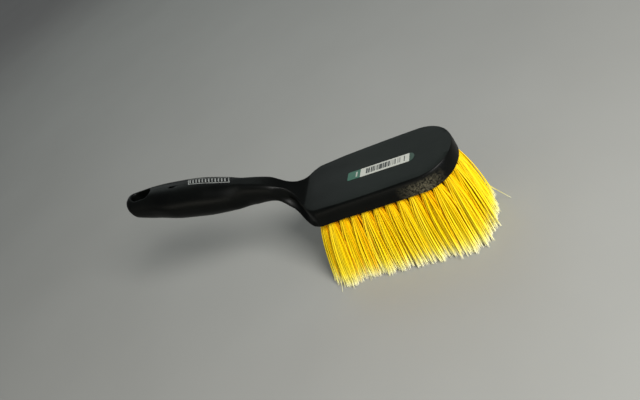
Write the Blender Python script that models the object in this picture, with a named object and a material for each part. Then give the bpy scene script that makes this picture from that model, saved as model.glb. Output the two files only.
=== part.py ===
"""Car wash brush: a one-piece moulded back with a raised handle, and splayed tufts of bristle.

The brush stands on its bristle tips. X runs from the handle to the toe of the block, Z is up.
The tufts sit in slanted blind holes in the underside of the block, in two rings and a middle row.
All sizes are in metres.
"""
import bisect
import math

import bmesh
import bpy
from mathutils import Vector

# Block
BODY_LENGTH = 0.2882
HEAD_LENGTH = 0.1255
HEAD_WIDTH = 0.0655
HEEL_WIDTH = 0.063
TOE_LENGTH = 0.031
BLOCK_HEIGHT = 0.015
TOP_EDGE_INSET = 0.0038
TOP_EDGE_DROP = 0.010
TOE_EDGE_INSET = 0.0005
BOTTOM_EDGE_RADIUS = 0.0008
SHOULDER_LENGTH = 0.0253
SHOULDER_LEAD = 0.0028

# Neck and handle
HANDLE_RISE = 0.0605
NECK_WIDTH = 0.0113
NECK_FLARE = 0.010
FLARE_TOP_SHARE = 0.48
GRIP_WIDTH = 0.0325
GRIP_DEPTH = 0.0338
END_LENGTH = 0.008
END_TOP_DROP = 0.0093
END_BOTTOM_LIFT = 0.0003
FULL_ROUND_SHARE = 0.92

# Hang hole and gate recess
HANG_HOLE_LENGTH = 0.0195
HANG_HOLE_WIDTH = 0.0112
HANG_HOLE_INSET = 0.0187
HANG_HOLE_RIM = 0.0014
HANG_HOLE_RIM_DEPTH = 0.0022
GATE_LENGTH = 0.009
GATE_WIDTH = 0.002
GATE_DEPTH = 0.0008
GATE_INSET = 0.0515

# Label
LABEL_LENGTH = 0.0612
LABEL_WIDTH = 0.0095
LABEL_THICKNESS = 0.00015
LABEL_FRONT_INSET = 0.0321
LABEL_SIDE_SHIFT = 0.0022
LABEL_TURN = math.radians(-2.0)

# Tufts
TRIM_LENGTH = 0.062
TUFT_RADIUS = 0.0029
HOLE_DEPTH = 0.010
HOLE_END_CLEARANCE = 0.0005
OUTER_RING_INSET = 0.0052
SIDE_RING_SHIFT = 0.0012
RING_CORNER_RADIUS = 0.0065
RING_SPACING = 0.0122
HEEL_RING_SHIFT = 0.0042
TUFT_PITCH = 0.0106
MIDDLE_END_INSET = 0.0345
TOE_SPLAY = 0.0070
HEEL_SPLAY = 0.0150
SIDE_SPLAY_AT_HEEL = 0.0105
SIDE_SPLAY_AT_TOE = 0.0155
STRAND_GAP = 0.0003
STRANDS_PER_TUFT = 7
TUFT_SPREAD_SHARE = 2.2
STRAND_SWELL_SHARE = 1.55
BEND_HEIGHT_SHARE = 0.5
BEND_SPREAD_SHARE = 0.54

# Fits and cuts
CLEARANCE = 0.0003
OVERRUN = 0.005
MERGE_DISTANCE = 0.00002

# Counts
HEAD_ROWS = 9
SHOULDER_ROWS = 9
HANDLE_ROWS = 24
END_ROWS = 7
TOE_ROWS = 14
TOP_FLAT_STEPS = 2
SIDE_STEPS = 1
CORNER_STEPS = 6
HOLE_SIDES = 8
SLOT_ARC_STEPS = 8
LOOP_STEPS = 48

# Places along the neck and handle, from the block's heel to the end, as shares of its reach.
# The other columns are shares of the rise, of the growth in depth and in width, of full roundness
# for the upper and the lower edges, and of the flare that spreads the lower edge.
PROFILE_SHARES = (
    # along, rise, depth, width, upper round, lower round, flare
    (-0.155, 0.000, 0.00, 0.00, 0.00, 0.00, 0.00),
    (0.000, 0.000, 0.00, 0.00, 0.06, 0.00, 0.16),
    (0.042, 0.009, 0.03, 0.00, 0.00, 0.34, 0.76),
    (0.084, 0.108, 0.23, 0.00, 0.26, 0.33, 1.00),
    (0.138, 0.262, 0.30, 0.06, 0.02, 0.55, 0.74),
    (0.204, 0.406, 0.32, 0.35, 0.26, 1.00, 0.00),
    (0.330, 0.561, 0.61, 0.36, 0.58, 1.00, 0.00),
    (0.420, 0.658, 0.76, 0.80, 1.00, 1.00, 0.00),
    (0.580, 0.822, 1.00, 1.00, 1.00, 1.00, 0.00),
    (0.710, 0.900, 0.90, 1.00, 1.00, 1.00, 0.00),
    (0.855, 0.974, 0.69, 0.68, 1.00, 1.00, 0.00),
    (1.000, 0.995, 0.21, 0.42, 1.00, 1.00, 0.00),
)
PROFILE_COLUMNS = tuple(zip(*PROFILE_SHARES))
ALONG_SHARES, RISE_SHARES, DEPTH_SHARES, WIDTH_SHARES = PROFILE_COLUMNS[:4]
UPPER_SHARES, LOWER_SHARES, FLARE_SHARES = PROFILE_COLUMNS[4:]

BLOCK_TOP = TRIM_LENGTH + BLOCK_HEIGHT
HANDLE_REACH = BODY_LENGTH - HEAD_LENGTH


def clear_scene():
    for item in list(bpy.data.objects):
        bpy.data.objects.remove(item, do_unlink=True)


def make_material(name, colour, roughness):
    material = bpy.data.materials.new(name)
    material.use_nodes = True
    shader = material.node_tree.nodes["Principled BSDF"]
    shader.inputs["Base Color"].default_value = (*colour, 1.0)
    shader.inputs["Roughness"].default_value = roughness
    shader.inputs["Metallic"].default_value = 0.0
    return material


def make_object(name, mesh_data, material, parent):
    mesh = bpy.data.meshes.new(name)
    mesh_data.normal_update()
    mesh_data.to_mesh(mesh)
    mesh_data.free()
    mesh.materials.append(material)
    item = bpy.data.objects.new(name, mesh)
    bpy.context.collection.objects.link(item)
    item.parent = parent
    return item


def mix(start, end, share):
    return start + (end - start) * share


def smooth_share(share):
    share = min(max(share, 0.0), 1.0)
    return share * share * (3.0 - 2.0 * share)


def smooth_value(place, places, values):
    """Read a smooth curve through chosen points, without overshoot between them."""
    slopes = [(values[i + 1] - values[i]) / (places[i + 1] - places[i]) for i in range(len(places) - 1)]
    tangents = [slopes[0]]
    for before, after in zip(slopes, slopes[1:]):
        steady = before * after > 0.0
        tangents.append(2.0 * before * after / (before + after) if steady else 0.0)
    tangents.append(slopes[-1])
    place = min(max(place, places[0]), places[-1])
    step = min(max(bisect.bisect_left(places, place), 1), len(places) - 1) - 1
    width = places[step + 1] - places[step]
    share = (place - places[step]) / width
    rest = 1.0 - share
    return (
        values[step] * (1.0 + 2.0 * share) * rest * rest
        + tangents[step] * width * share * rest * rest
        + values[step + 1] * share * share * (3.0 - 2.0 * share)
        - tangents[step + 1] * width * share * share * rest
    )


def block_half_width(inset):
    """Half the width of the block at a distance behind its toe, before the toe rounds it off."""
    middle = HEAD_LENGTH / 2.0
    taper = (HEAD_WIDTH - HEEL_WIDTH) / 2.0
    return HEAD_WIDTH / 2.0 - taper * ((inset - middle) / middle) ** 2


def handle_share(inset):
    return (inset - HEAD_LENGTH) / HANDLE_REACH


def section_at(inset):
    """Half width, top, bottom, two edge radii and upper narrowing, at a distance behind the toe."""
    along = handle_share(inset)
    top = BLOCK_TOP + HANDLE_RISE * smooth_value(along, ALONG_SHARES, RISE_SHARES)
    depth = mix(BLOCK_HEIGHT, GRIP_DEPTH, smooth_value(along, ALONG_SHARES, DEPTH_SHARES))
    bottom = top - depth
    neck = mix(NECK_WIDTH, GRIP_WIDTH, smooth_value(along, ALONG_SHARES, WIDTH_SHARES)) / 2.0
    shoulder = smooth_share((inset - HEAD_LENGTH + SHOULDER_LEAD) / SHOULDER_LENGTH)
    ridge = mix(block_half_width(min(inset, HEAD_LENGTH)), neck, shoulder)
    half_width = ridge + NECK_FLARE * smooth_value(along, ALONG_SHARES, FLARE_SHARES)
    ridge_share = ridge / half_width
    past_end = (inset - BODY_LENGTH + END_LENGTH) / END_LENGTH
    if past_end > 0.0:
        closing = math.sqrt(1.0 - past_end * past_end)
        half_width *= closing
        top -= END_TOP_DROP * (1.0 - closing)
        bottom += END_BOTTOM_LIFT * (1.0 - closing)
    full = Vector((half_width, (top - bottom) / 2.0)) * FULL_ROUND_SHARE
    upper_share = smooth_value(along, ALONG_SHARES, UPPER_SHARES)
    lower_share = smooth_value(along, ALONG_SHARES, LOWER_SHARES)
    upper = Vector((TOP_EDGE_INSET, TOP_EDGE_DROP)).lerp(full, upper_share)
    lower = Vector((BOTTOM_EDGE_RADIUS, BOTTOM_EDGE_RADIUS)).lerp(full, lower_share)
    return half_width, top, bottom, upper, lower, ridge_share


def half_profile(section):
    """Points from the top centre line out over the edge and back to the bottom centre line."""
    half_width, top, bottom, upper, lower, ridge_share = section
    upper = Vector((min(upper.x, half_width * FULL_ROUND_SHARE), upper.y))
    lower = Vector((min(lower.x, half_width * FULL_ROUND_SHARE), lower.y))
    points = []
    for step in range(TOP_FLAT_STEPS):
        points.append((mix(0.0, half_width - upper.x, step / TOP_FLAT_STEPS), top))
    for step in range(CORNER_STEPS + 1):
        angle = math.pi / 2.0 * step / CORNER_STEPS
        out = half_width - upper.x * (1.0 - math.sin(angle))
        points.append((out, top - upper.y * (1.0 - math.cos(angle))))
    for step in range(1, SIDE_STEPS):
        points.append((half_width, mix(top - upper.y, bottom + lower.y, step / SIDE_STEPS)))
    for step in range(CORNER_STEPS + 1):
        angle = math.pi / 2.0 * step / CORNER_STEPS
        out = half_width - lower.x * (1.0 - math.cos(angle))
        points.append((out, bottom + lower.y * (1.0 - math.sin(angle))))
    for step in range(1, TOP_FLAT_STEPS + 1):
        points.append((mix(half_width - lower.x, 0.0, step / TOP_FLAT_STEPS), bottom))
    flare_height = (top - bottom) * FLARE_TOP_SHARE
    leans = [smooth_share((height - bottom) / flare_height) for _, height in points]
    return [(out * mix(1.0, ridge_share, lean), height) for (out, height), lean in zip(points, leans)]


def body_insets():
    """Distances behind the toe of the rows of points, from the handle's end to the toe's centre."""
    end_start = BODY_LENGTH - END_LENGTH
    shoulder_start = HEAD_LENGTH - SHOULDER_LEAD
    shoulder_end = shoulder_start + SHOULDER_LENGTH
    insets = []
    for step in range(1, END_ROWS + 1):
        angle = math.pi / 2.0 * (1.0 - step / (END_ROWS + 1))
        insets.append(end_start + END_LENGTH * math.sin(angle))
    for step in range(HANDLE_ROWS):
        insets.append(mix(end_start, shoulder_end, step / HANDLE_ROWS))
    for step in range(SHOULDER_ROWS):
        insets.append(mix(shoulder_end, shoulder_start, step / SHOULDER_ROWS))
    for step in range(HEAD_ROWS + 1):
        insets.append(mix(shoulder_start, TOE_LENGTH, step / HEAD_ROWS))
    return insets


def build_half_body():
    """The half of the body on the +Y side, open on the centre plane."""
    body = bmesh.new()
    rows = []
    for inset in body_insets():
        points = half_profile(section_at(inset))
        rows.append([body.verts.new((-inset, out, height)) for out, height in points])
    toe_half_width, top, bottom, upper, *rest = section_at(TOE_LENGTH)
    for step in range(1, TOE_ROWS + 1):
        angle = math.pi / 2.0 * step / TOE_ROWS
        reach = Vector((TOE_LENGTH * math.sin(angle), toe_half_width * math.cos(angle)))
        edge = Vector((mix(upper.x, TOE_EDGE_INSET, math.sin(angle) ** 2), upper.y))
        points = half_profile((reach.length, top, bottom, edge, *rest))
        row = []
        for index, (out, height) in enumerate(points):
            if index in (0, len(points) - 1):
                row.append(rows[-1][index])
                continue
            place = reach * (out / reach.length)
            row.append(body.verts.new((place.x - TOE_LENGTH, place.y, height)))
        rows.append(row)
    for near, far in zip(rows, rows[1:]):
        for index in range(len(near) - 1):
            corners = (near[index], far[index], far[index + 1], near[index + 1])
            body.faces.new(tuple(dict.fromkeys(corners)))
    body.faces.new(rows[0])
    bmesh.ops.recalc_face_normals(body, faces=body.faces)
    return body


def slot_outline(length, width):
    """A round-ended slot, centred, with its length along X."""
    radius = width / 2.0
    straight = (length - width) / 2.0
    points = []
    for side in (1.0, -1.0):
        for step in range(SLOT_ARC_STEPS + 1):
            angle = math.pi * (step / SLOT_ARC_STEPS - 1.0 / 2.0)
            points.append((side * (straight + radius * math.cos(angle)), side * radius * math.sin(angle)))
    return points


def add_stack(mesh_data, rings):
    """Join rings of points, listed from the bottom up, into one closed body."""
    rows = [[mesh_data.verts.new(point) for point in ring] for ring in rings]
    count = len(rows[0])
    for lower, upper in zip(rows, rows[1:]):
        for index in range(count):
            after = (index + 1) % count
            mesh_data.faces.new((lower[index], lower[after], upper[after], upper[index]))
    mesh_data.faces.new(rows[0][::-1])
    mesh_data.faces.new(rows[-1])


def make_cutter(name, mesh_data, parent, material):
    cutter = make_object(name, mesh_data, material, parent)
    cutter.hide_render = True
    cutter.display_type = "WIRE"
    return cutter


def build_slot_cutter():
    """The hang hole with its bevelled rim, and the shallow recess where the mould was filled."""
    cutter = bmesh.new()
    hole_inset = BODY_LENGTH - HANG_HOLE_INSET
    top = section_at(hole_inset)[1]
    levels = (
        (0.0, 0.0),
        (top - HANG_HOLE_RIM_DEPTH, 0.0),
        (top, HANG_HOLE_RIM),
        (top + OVERRUN, HANG_HOLE_RIM),
    )
    rings = []
    for height, growth in levels:
        outline = slot_outline(HANG_HOLE_LENGTH + 2.0 * growth, HANG_HOLE_WIDTH + 2.0 * growth)
        rings.append([(x - hole_inset, y, height) for x, y in outline])
    add_stack(cutter, rings)
    gate_inset = BODY_LENGTH - GATE_INSET
    gate_ends = (gate_inset - GATE_LENGTH / 2.0, gate_inset + GATE_LENGTH / 2.0)
    floors = [section_at(end)[1] - GATE_DEPTH for end in gate_ends]
    outline = slot_outline(GATE_LENGTH, GATE_WIDTH)
    slope = (floors[1] - floors[0]) / GATE_LENGTH
    middle = sum(floors) / 2.0
    rings = []
    for lift in (0.0, OVERRUN):
        rings.append([(x - gate_inset, y, middle - slope * x + lift) for x, y in outline])
    add_stack(cutter, rings)
    return cutter


def ring_half_width(inset, margin):
    return block_half_width(inset) - margin - SIDE_RING_SHIFT


def ring_outline(margin):
    """A closed loop inside the block's edge, run on a little under the neck, with the toe's tip first."""
    heel = margin - HEAD_LENGTH - HEEL_RING_SHIFT
    points = []
    for step in range(LOOP_STEPS + 1):
        angle = math.pi / 2.0 * step / LOOP_STEPS
        half_width = ring_half_width(TOE_LENGTH, margin)
        x = (TOE_LENGTH - margin) * math.cos(angle) - TOE_LENGTH
        points.append(Vector((x, half_width * math.sin(angle))))
    corner = min(RING_CORNER_RADIUS + margin - OUTER_RING_INSET, ring_half_width(HEAD_LENGTH, margin))
    for step in range(1, LOOP_STEPS + 1):
        x = mix(-TOE_LENGTH, heel + corner, step / LOOP_STEPS)
        points.append(Vector((x, ring_half_width(min(-x, HEAD_LENGTH), margin))))
    centre = Vector((heel + corner, points[-1].y - corner))
    for step in range(1, LOOP_STEPS + 1):
        angle = math.pi / 2.0 * step / LOOP_STEPS
        points.append(centre + corner * Vector((-math.sin(angle), math.cos(angle))))
    points.append(Vector((heel, 0.0)))
    mirrored = [Vector((point.x, -point.y)) for point in reversed(points[1:-1])]
    return points + mirrored


def spaced_places(loop, count, start_share):
    """Evenly spaced places along a closed loop, the first one a share of a pitch from its start."""
    closed = loop + [loop[0]]
    lengths = [0.0]
    for before, after in zip(closed, closed[1:]):
        lengths.append(lengths[-1] + (after - before).length)
    places = []
    for number in range(count):
        travel = lengths[-1] * (number + start_share) / count
        step = min(bisect.bisect_right(lengths, travel), len(closed) - 1) - 1
        share = (travel - lengths[step]) / (lengths[step + 1] - lengths[step])
        places.append(closed[step].lerp(closed[step + 1], share))
    return places


def loop_length(loop):
    return sum((after - before).length for before, after in zip(loop, loop[1:] + loop[:1]))


def even_count(length):
    return 2 * round(length / TUFT_PITCH / 2.0)


def tuft_places():
    """Names and places of all tufts: two rings, staggered to each other, and a middle row."""
    places = []
    rings = (("outer", OUTER_RING_INSET, 0.0), ("inner", OUTER_RING_INSET + RING_SPACING, 1.0 / 2.0))
    for name, margin, start_share in rings:
        loop = ring_outline(margin)
        count = even_count(loop_length(loop))
        for number, place in enumerate(spaced_places(loop, count, start_share), start=1):
            places.append((f"tuft_{name}_{number:02d}", place))
    front = -MIDDLE_END_INSET
    back = MIDDLE_END_INSET - HEAD_LENGTH
    gaps = round((front - back) / TUFT_PITCH)
    for number in range(gaps + 1):
        place = Vector((mix(front, back, number / gaps), 0.0))
        places.append((f"tuft_middle_{number + 1:02d}", place))
    return places


def splay(place):
    """How far the bristles lean out from a root to the trimmed face, growing towards the edges."""
    middle = HEAD_LENGTH / 2.0
    along = (place.x + middle) / (middle - OUTER_RING_INSET)
    across = place.y / (HEAD_WIDTH / 2.0 - OUTER_RING_INSET - SIDE_RING_SHIFT)
    side = mix(SIDE_SPLAY_AT_HEEL, SIDE_SPLAY_AT_TOE, (along + 1.0) / 2.0)
    return Vector((along * (TOE_SPLAY if along > 0.0 else HEEL_SPLAY), side * across))


def turned_points(count, radius, turn_share):
    points = []
    for number in range(count):
        angle = 2.0 * math.pi * (number + turn_share) / count
        points.append(Vector((radius * math.cos(angle), radius * math.sin(angle))))
    return points


def sheared(place, offset, height):
    """A point of a slanted hole or plug, which leans as its tuft does."""
    lean = splay(place) * ((TRIM_LENGTH - height) / TRIM_LENGTH)
    return Vector((place.x + offset.x + lean.x, place.y + offset.y + lean.y, height))


def build_hole_cutters(places):
    cutter = bmesh.new()
    hole_radius = (TUFT_RADIUS + CLEARANCE) / math.cos(math.pi / HOLE_SIDES)
    levels = (TRIM_LENGTH - OVERRUN, TRIM_LENGTH + HOLE_DEPTH)
    for _, place in places:
        offsets = turned_points(HOLE_SIDES, hole_radius, 0.0)
        add_stack(cutter, [[sheared(place, offset, height) for offset in offsets] for height in levels])
    return cutter


def strand_ring(place, corners, height_share, spread_share, swell):
    """One cross-section of a strand, carried from its root towards its tip."""
    centre = sum(corners, Vector((0.0, 0.0))) / len(corners)
    root = place + centre
    aim = place + centre * TUFT_SPREAD_SHARE
    tip = aim + splay(aim)
    middle = root.lerp(tip, spread_share)
    height = TRIM_LENGTH * (1.0 - height_share)
    return [Vector((*(middle + (corner - centre) * swell), height)) for corner in corners]


def build_tuft(place):
    """A plug that fills the blind hole, with strands of three sides fused to its lower face."""
    tuft = bmesh.new()
    rim = turned_points(STRANDS_PER_TUFT, TUFT_RADIUS, 0.0)
    top_height = TRIM_LENGTH + HOLE_DEPTH - HOLE_END_CLEARANCE
    upper = [tuft.verts.new(sheared(place, offset, top_height)) for offset in rim]
    lower = [tuft.verts.new(sheared(place, offset, TRIM_LENGTH)) for offset in rim]
    centre = tuft.verts.new(sheared(place, Vector((0.0, 0.0)), TRIM_LENGTH))
    tuft.faces.new(upper)
    middle_swell = mix(1.0, STRAND_SWELL_SHARE, BEND_HEIGHT_SHARE)
    for index in range(STRANDS_PER_TUFT):
        after = (index + 1) % STRANDS_PER_TUFT
        tuft.faces.new((lower[index], lower[after], upper[after], upper[index]))
        wedge_points = [Vector((0.0, 0.0)), rim[index], rim[after]]
        wedge_verts = [centre, lower[index], lower[after]]
        middle = sum(wedge_points, Vector((0.0, 0.0))) / len(wedge_points)
        inradius = TUFT_RADIUS * math.cos(math.pi / STRANDS_PER_TUFT) - middle.length
        shrink = 1.0 - STRAND_GAP / inradius
        corners = [middle + (point - middle) * shrink for point in wedge_points]
        rows = [wedge_verts]
        rings = (
            strand_ring(place, corners, 0.0, 0.0, 1.0),
            strand_ring(place, corners, BEND_HEIGHT_SHARE, BEND_SPREAD_SHARE, middle_swell),
            strand_ring(place, corners, 1.0, 1.0, STRAND_SWELL_SHARE),
        )
        rows += [[tuft.verts.new(point) for point in ring] for ring in rings]
        for near, far in zip(rows, rows[1:]):
            for side in range(len(corners)):
                turn = (side + 1) % len(corners)
                tuft.faces.new((near[side], far[side], far[turn], near[turn]))
        tuft.faces.new(rows[-1][::-1])
    bmesh.ops.recalc_face_normals(tuft, faces=tuft.faces)
    return tuft


def add_boolean(item, name, cutter):
    cut = item.modifiers.new(name, "BOOLEAN")
    cut.operation = "DIFFERENCE"
    cut.solver = "EXACT"
    cut.object = cutter


def add_body(parent, places):
    plastic = make_material("body_plastic", (0.018, 0.022, 0.020), 0.45)
    body = make_object("brush_body", build_half_body(), plastic, parent)
    body.data.shade_smooth()
    mirror = body.modifiers.new("other_side", "MIRROR")
    mirror.use_axis = (False, True, False)
    mirror.use_clip = True
    mirror.merge_threshold = MERGE_DISTANCE
    holes = make_cutter("tuft_hole_cutter", build_hole_cutters(places), parent, plastic)
    slots = make_cutter("slot_cutter", build_slot_cutter(), parent, plastic)
    add_boolean(body, "tuft_holes", holes)
    add_boolean(body, "hang_hole", slots)
    return body


def add_label(parent):
    """A paper sticker on the flat top of the block, with its front end rounded."""
    label = bmesh.new()
    half_width = LABEL_WIDTH / 2.0
    straight = LABEL_LENGTH / 2.0 - half_width
    outline = [(-LABEL_LENGTH / 2.0, half_width), (-LABEL_LENGTH / 2.0, -half_width)]
    for step in range(SLOT_ARC_STEPS + 1):
        angle = math.pi * (step / SLOT_ARC_STEPS - 1.0 / 2.0)
        outline.append((straight + half_width * math.cos(angle), half_width * math.sin(angle)))
    add_stack(label, [[(x, y, height) for x, y in outline] for height in (0.0, LABEL_THICKNESS)])
    paper = make_material("label_paper", (0.45, 0.50, 0.45), 0.5)
    item = make_object("label", label, paper, parent)
    middle = -(LABEL_FRONT_INSET + LABEL_LENGTH / 2.0)
    item.location = (middle, -LABEL_SIDE_SHIFT, BLOCK_TOP + CLEARANCE)
    item.rotation_euler = (0.0, 0.0, LABEL_TURN)
    return item


def add_tufts(parent, places):
    tufts = []
    for name, place in places:
        bristle = make_material(f"{name}_bristle", (0.80, 0.58, 0.02), 0.5)
        tufts.append(make_object(name, build_tuft(place), bristle, parent))
    return tufts


def centre_on_origin(frame, items):
    """Put the middle of the brush's footprint over the origin."""
    corners = [vertex.co.x for item in items for vertex in item.data.vertices]
    frame.location = (-(min(corners) + max(corners)) / 2.0, 0.0, 0.0)


def main():
    clear_scene()
    frame = bpy.data.objects.new("brush_frame", None)
    bpy.context.collection.objects.link(frame)
    places = tuft_places()
    body = add_body(frame, places)
    add_label(frame)
    tufts = add_tufts(frame, places)
    centre_on_origin(frame, [body, *tufts])
    bpy.context.view_layer.update()


main()
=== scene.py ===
"""Looks of the car wash brush: satin black moulded back, paper label and soft yellow bristles.

X runs from the handle to the toe of the head, Z is up, and the bristle tips stand on the floor.
Distances called inset are measured backwards from the toe's tip. All sizes are in metres.
"""
import bisect
import math

import bmesh
import bpy
import numpy as np
from mathutils import Matrix, Vector


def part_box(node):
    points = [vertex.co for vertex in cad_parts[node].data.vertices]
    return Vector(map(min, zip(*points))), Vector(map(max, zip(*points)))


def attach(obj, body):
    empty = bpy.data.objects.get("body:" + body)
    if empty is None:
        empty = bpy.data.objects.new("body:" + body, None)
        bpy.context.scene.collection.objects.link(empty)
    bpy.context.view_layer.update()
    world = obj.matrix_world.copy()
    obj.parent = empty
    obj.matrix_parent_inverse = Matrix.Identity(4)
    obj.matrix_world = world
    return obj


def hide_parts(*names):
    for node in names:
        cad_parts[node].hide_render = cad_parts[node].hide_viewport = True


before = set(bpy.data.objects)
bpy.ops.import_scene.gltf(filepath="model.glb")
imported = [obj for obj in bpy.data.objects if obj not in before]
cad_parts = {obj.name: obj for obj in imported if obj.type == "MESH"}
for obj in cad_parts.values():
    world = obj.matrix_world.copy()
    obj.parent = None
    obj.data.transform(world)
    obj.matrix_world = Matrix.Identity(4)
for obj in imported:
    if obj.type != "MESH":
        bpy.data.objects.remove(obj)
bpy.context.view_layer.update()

# Taken from the frame
TOE_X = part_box("brush_body")[1].x

# Body
BODY_LENGTH = 0.2882
HEAD_LENGTH = 0.1255
HEAD_WIDTH = 0.0655
HEEL_WIDTH = 0.063
TOE_LENGTH = 0.031
BLOCK_HEIGHT = 0.015
TOP_EDGE_INSET = 0.0038
TOE_EDGE_INSET = 0.0005
TOP_EDGE_DROP = 0.010
BOTTOM_EDGE_RADIUS = 0.0008
SHOULDER_LENGTH = 0.0253
SHOULDER_LEAD = 0.0028
HANDLE_RISE = 0.0605
NECK_WIDTH = 0.0113
NECK_FLARE = 0.010
FLARE_TOP_SHARE = 0.48
GRIP_WIDTH = 0.0325
GRIP_DEPTH = 0.0338
END_LENGTH = 0.008
END_TOP_DROP = 0.0093
END_BOTTOM_LIFT = 0.0003
FULL_ROUND_SHARE = 0.92
HANG_HOLE_LENGTH = 0.0195
HANG_HOLE_WIDTH = 0.0112
HANG_HOLE_INSET = 0.0187
HANG_HOLE_ROUNDING = 0.0016
GATE_LENGTH = 0.009
GATE_WIDTH = 0.002
GATE_DEPTH = 0.0008
GATE_INSET = 0.0515

# Painted sheen on the head's top, and a painted reflection on its side near the toe
TOP_SHEEN_START_INSET = 0.080
SIDE_SHEEN_INSET = 0.030
SIDE_SHEEN_RISE = 0.005
SIDE_SHEEN_REACH = 0.022

# Printed row on the grip
PRINT_FRONT_INSET = 0.1892
PRINT_BACK_INSET = 0.2237
PRINT_HALF_WIDTH = 0.0040
PRINT_BARS = 13.0
PRINT_BAR_SHARE = 0.40
PRINT_SIDE_SHIFT = 0.0034
PRINT_BORDER = 0.0007
PRINT_SLANT = 0.35

# Relief of the plastic's grain and pebbles, and of the label's paper
GRAIN_HEIGHT = 0.00006
PEBBLE_HEIGHT = 0.00016
PAPER_HEIGHT = 0.00005

# Cuts and joins
OVERRUN = 0.002
CUT_LIFT = 0.004
MERGE_DISTANCE = 0.000002

# Tufts
TRIM_LENGTH = 0.062
TUFT_RADIUS = 0.0029
HOLE_DEPTH = 0.010
HOLE_CLEARANCE = 0.0003
OUTER_RING_INSET = 0.0052
SIDE_RING_SHIFT = 0.0012
TOE_SPLAY = 0.0070
HEEL_SPLAY = 0.0150
SIDE_SPLAY_AT_HEEL = 0.0105
SIDE_SPLAY_AT_TOE = 0.0155
FILAMENT_SPREAD_SHARES = (2.3, 3.0)
INNER_SPREAD_SHARE = 1.2
FILAMENT_WANDER = 0.0008
FILAMENT_BOW = 0.0007
STRAY_SHARE = 0.008
STRAY_WANDER = 0.0028
PUFF_POWER = 4.2
TOE_PUFF_POWER = 1.6
TOE_SET = 0.012
TOE_SET_TILT_SHARE = 0.33
TOE_SET_START_SHARE = 0.5
TOE_FAR_START_SHARE = 0.1
TOE_FAR_SET_SHARE = 1.10
TOE_FAR_SPREAD_SHARE = 0.75
STRAY_BEND = 1.8
HEEL_ROW_SHARE = -0.9
HEEL_SET = 0.0035
HEEL_CORNER_SET = 0.0055
HEEL_CORNER_START_SHARE = 0.5
STRAY_TIPS = (
    # x, y and height of the tips of three filaments that stand out from the rest
    (0.1497, 0.0068, 0.0050),
    (0.1608, -0.0036, 0.0010),
    (0.0034, -0.0518, 0.0005),
)

# Label
LABEL_LENGTH = 0.0612
LABEL_WIDTH = 0.0095
LABEL_FRONT_INSET = 0.0321
LABEL_SIDE_SHIFT = 0.0022
LABEL_TURN = math.radians(-2.0)
LABEL_THICKNESS = 0.00018
LABEL_SEAT = 0.00004
LABEL_CORNER = 0.0006
LABEL_TIP_SHARE = 0.02
GREEN_END_SHARE = 0.195
DARK_END_SHARE = 0.925
BAR_COLUMNS = 150.0
BARS_ALONG_SHARES = (0.262, 0.86)
BARS_ACROSS_SHARES = (0.20, 0.84)
TICK_ALONG_SHARES = (0.125, 0.150)
TICK_ACROSS_SHARES = (0.2, 0.8)

# Wire strips that hold the tufts
ANCHOR_LENGTH = 0.0056
ANCHOR_WIDTH = 0.0018
ANCHOR_THICKNESS = 0.0004
ANCHOR_EDGE = 0.0001

# Camera, fitted to the photograph's 640 x 400 frame
PICTURE_SIZE = (640.0, 400.0)
AIM_PIXEL = (373.3, 167.4)
FOCAL_PIXELS = 650.0
SENSOR_WIDTH = 36.0
AIM_INSET = 0.0695
CAMERA_DISTANCE = 0.5315
CAMERA_AZIMUTH = math.radians(25.6)
CAMERA_ELEVATION = math.radians(35.2)
CAMERA_ROLL = math.radians(-35.1)
CLIP_START = 0.01
CLIP_END = 50.0

# Floor
FLOOR_REACH = 8.0
FLOOR_DROP = 0.0002

# Places along the neck and handle, as shares of its reach, with shares of the rise, of the growth
# in depth and in width, of full roundness for the upper and lower edges, and of the flare.
PROFILE_SHARES = (
    # along, rise, depth, width, upper round, lower round, flare
    (-0.155, 0.000, 0.00, 0.00, 0.00, 0.00, 0.00),
    (0.000, 0.000, 0.00, 0.00, 0.06, 0.00, 0.16),
    (0.042, 0.009, 0.03, 0.00, 0.00, 0.34, 0.76),
    (0.084, 0.108, 0.23, 0.00, 0.26, 0.33, 1.00),
    (0.138, 0.262, 0.30, 0.06, 0.02, 0.55, 0.74),
    (0.204, 0.406, 0.32, 0.35, 0.26, 1.00, 0.00),
    (0.330, 0.561, 0.61, 0.36, 0.58, 1.00, 0.00),
    (0.420, 0.658, 0.76, 0.80, 1.00, 1.00, 0.00),
    (0.580, 0.822, 1.00, 1.00, 1.00, 1.00, 0.00),
    (0.710, 0.900, 0.90, 1.00, 1.00, 1.00, 0.00),
    (0.855, 0.974, 0.69, 0.68, 1.00, 1.00, 0.00),
    (1.000, 0.995, 0.21, 0.42, 1.00, 1.00, 0.00),
)
PROFILE_COLUMNS = tuple(zip(*PROFILE_SHARES))
ALONG_SHARES, RISE_SHARES, DEPTH_SHARES, WIDTH_SHARES = PROFILE_COLUMNS[:4]
UPPER_SHARES, LOWER_SHARES, FLARE_SHARES = PROFILE_COLUMNS[4:]

BLOCK_TOP = TRIM_LENGTH + BLOCK_HEIGHT
HANDLE_REACH = BODY_LENGTH - HEAD_LENGTH


# Camera


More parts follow.
